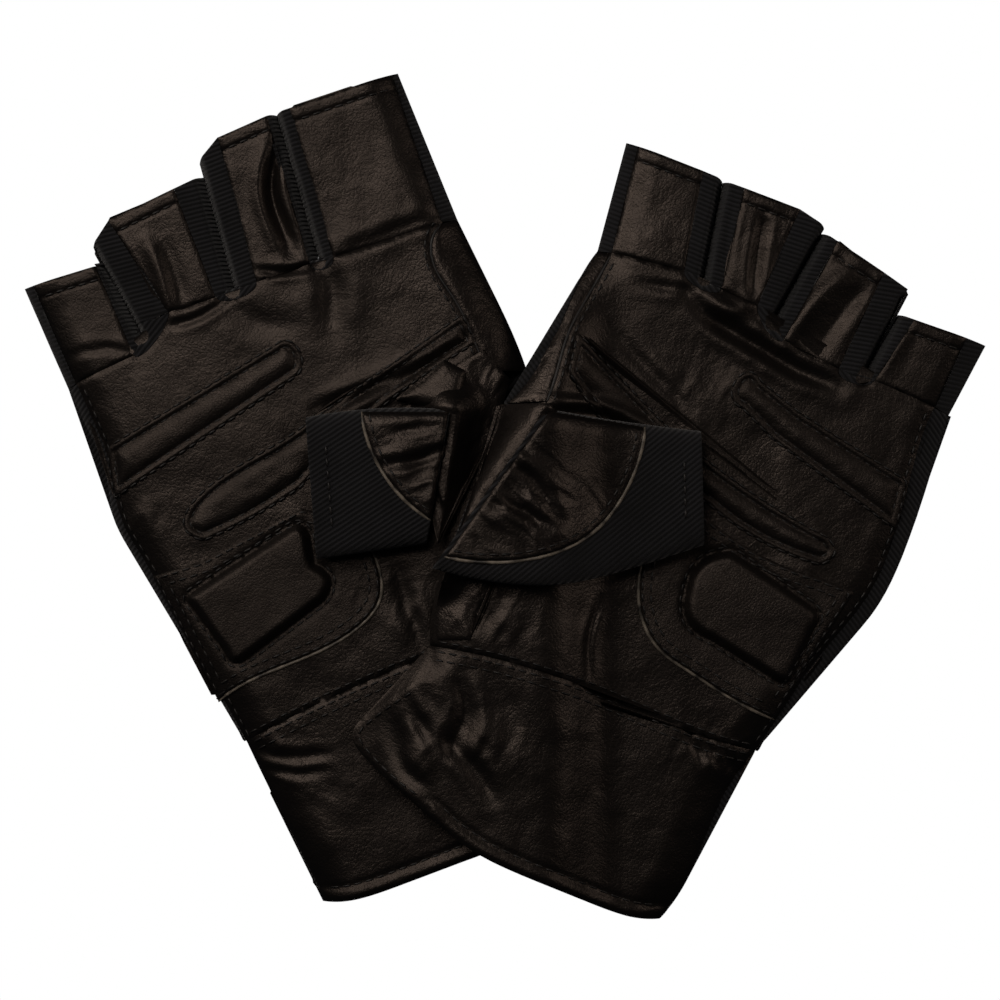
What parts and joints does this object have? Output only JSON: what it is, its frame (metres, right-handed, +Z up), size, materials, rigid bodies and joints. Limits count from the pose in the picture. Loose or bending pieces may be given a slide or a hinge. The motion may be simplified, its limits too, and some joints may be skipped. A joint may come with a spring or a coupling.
{
  "type": "pair of fingerless gloves",
  "caption": "Half-finger leather gloves with padded palms, stretch side panels and wrist straps, laid palm up and crossed at the cuffs.",
  "frame": {"origin": "on the floor, below the middle of the pair", "axes": "+X across the pair towards the left-hand glove, +Y towards the fingertips, +Z up out of the palms"},
  "size_m": [0.2523, 0.2219, 0.0298],
  "materials": {
    "leather": "semi-gloss grain",
    "stretch_twill": "matt diagonal weave",
    "padding": "matt foam or gel",
    "hook_tape": "matt bristle"
  },
  "bodies": {
    "right_glove": {"right_palm_panel": "leather", "right_back_panel": "stretch_twill", "right_web_gusset": "leather", "right_fourchette_crotches": "stretch_twill", "right_strip_foams": "padding", "right_upper_strip": "leather", "right_lower_strip": "leather", "right_gel_pad": "padding", "right_heel_patch": "leather", "right_thumb_root": "leather", "right_cuff_front": "leather", "right_cuff_back": "leather", "right_wrist_elastic": "stretch_twill", "right_loop_pad": "stretch_twill"},
    "right_index": {"right_index_front": "leather", "right_index_back": "stretch_twill", "right_index_fourchette": "stretch_twill"},
    "right_middle": {"right_middle_front": "leather", "right_middle_back": "stretch_twill", "right_middle_fourchette": "stretch_twill"},
    "right_ring": {"right_ring_front": "leather", "right_ring_back": "stretch_twill", "right_ring_fourchette": "stretch_twill"},
    "right_pinky": {"right_pinky_front": "leather", "right_pinky_back": "stretch_twill", "right_pinky_fourchette": "stretch_twill"},
    "right_thumb": {"right_thumb_sleeve": "stretch_twill", "right_thumb_patch": "leather"},
    "right_strap": {"right_wrist_strap": "leather", "right_hook_pad": "hook_tape"},
    "left_glove": {"left_palm_panel": "leather", "left_back_panel": "stretch_twill", "left_web_gusset": "leather", "left_fourchette_crotches": "stretch_twill", "left_strip_foams": "padding", "left_upper_strip": "leather", "left_lower_strip": "leather", "left_gel_pad": "padding", "left_heel_patch": "leather", "left_thumb_root": "leather", "left_cuff_front": "leather", "left_cuff_back": "leather", "left_wrist_elastic": "stretch_twill", "left_loop_pad": "stretch_twill"},
    "left_index": {"left_index_front": "leather", "left_index_back": "stretch_twill", "left_index_fourchette": "stretch_twill"},
    "left_middle": {"left_middle_front": "leather", "left_middle_back": "stretch_twill", "left_middle_fourchette": "stretch_twill"},
    "left_ring": {"left_ring_front": "leather", "left_ring_back": "stretch_twill", "left_ring_fourchette": "stretch_twill"},
    "left_pinky": {"left_pinky_front": "leather", "left_pinky_back": "stretch_twill", "left_pinky_fourchette": "stretch_twill"},
    "left_thumb": {"left_thumb_sleeve": "stretch_twill", "left_thumb_patch": "leather"},
    "left_strap": {"left_wrist_strap": "leather", "left_hook_pad": "hook_tape"}
  },
  "joints": [
    {"name": "left_glove_lift", "type": "slide", "parent": "right_glove", "child": "left_glove", "axis": [0, 0, 1], "range_m": [0, 0.15]},
    {"name": "right_index_curl", "type": "hinge", "parent": "right_glove", "child": "right_index", "pos_m": [-0.03005, 0.06725, 0.0096], "axis": [0.9508, 0.3098, 0], "range_deg": [0, 75]},
    {"name": "right_middle_curl", "type": "hinge", "parent": "right_glove", "child": "right_middle", "pos_m": [-0.0595, 0.0577, 0.0096], "axis": [0.9449, 0.3274, 0], "range_deg": [0, 75]},
    {"name": "right_ring_curl", "type": "hinge", "parent": "right_glove", "child": "right_ring", "pos_m": [-0.08315, 0.0495, 0.0096], "axis": [0.9499, 0.3124, 0], "range_deg": [0, 75]},
    {"name": "right_pinky_curl", "type": "hinge", "parent": "right_glove", "child": "right_pinky", "pos_m": [-0.10495, 0.0329, 0.0096], "axis": [0.9046, 0.4263, 0], "range_deg": [0, 75]},
    {"name": "left_index_curl", "type": "hinge", "parent": "left_glove", "child": "left_index", "pos_m": [0.0376, 0.0612, 0.0096], "axis": [0.9684, -0.2494, 0], "range_deg": [0, 75]},
    {"name": "left_middle_curl", "type": "hinge", "parent": "left_glove", "child": "left_middle", "pos_m": [0.0614, 0.052, 0.0096], "axis": [0.9203, -0.3911, 0], "range_deg": [0, 75]},
    {"name": "left_ring_curl", "type": "hinge", "parent": "left_glove", "child": "left_ring", "pos_m": [0.0813, 0.0363, 0.0096], "axis": [0.8826, -0.4702, 0], "range_deg": [0, 75]},
    {"name": "left_pinky_curl", "type": "hinge", "parent": "left_glove", "child": "left_pinky", "pos_m": [0.1059, 0.02615, 0.0096], "axis": [0.9171, -0.3986, 0], "range_deg": [0, 75]},
    {"name": "right_thumb_lift", "type": "hinge", "parent": "right_glove", "child": "right_thumb", "pos_m": [-0.0171, 0.0054, 0.0198], "axis": [0.1754, 0.9845, 0], "range_deg": [0, 75]},
    {"name": "left_thumb_lift", "type": "hinge", "parent": "left_glove", "child": "left_thumb", "pos_m": [-0.0039, 0.0023, 0.0298], "axis": [-0.5827, -0.8127, 0], "range_deg": [0, 75]},
    {"name": "right_strap_peel", "type": "hinge", "parent": "right_glove", "child": "right_strap", "pos_m": [0, -0.066, 0.0012], "axis": [0, -1, 0], "range_deg": [0, 150]},
    {"name": "left_strap_lift", "type": "hinge", "parent": "left_glove", "child": "left_strap", "pos_m": [-0.02, -0.06325, 0.0119], "axis": [0, 1, 0], "range_deg": [0, 85]}
  ]
}
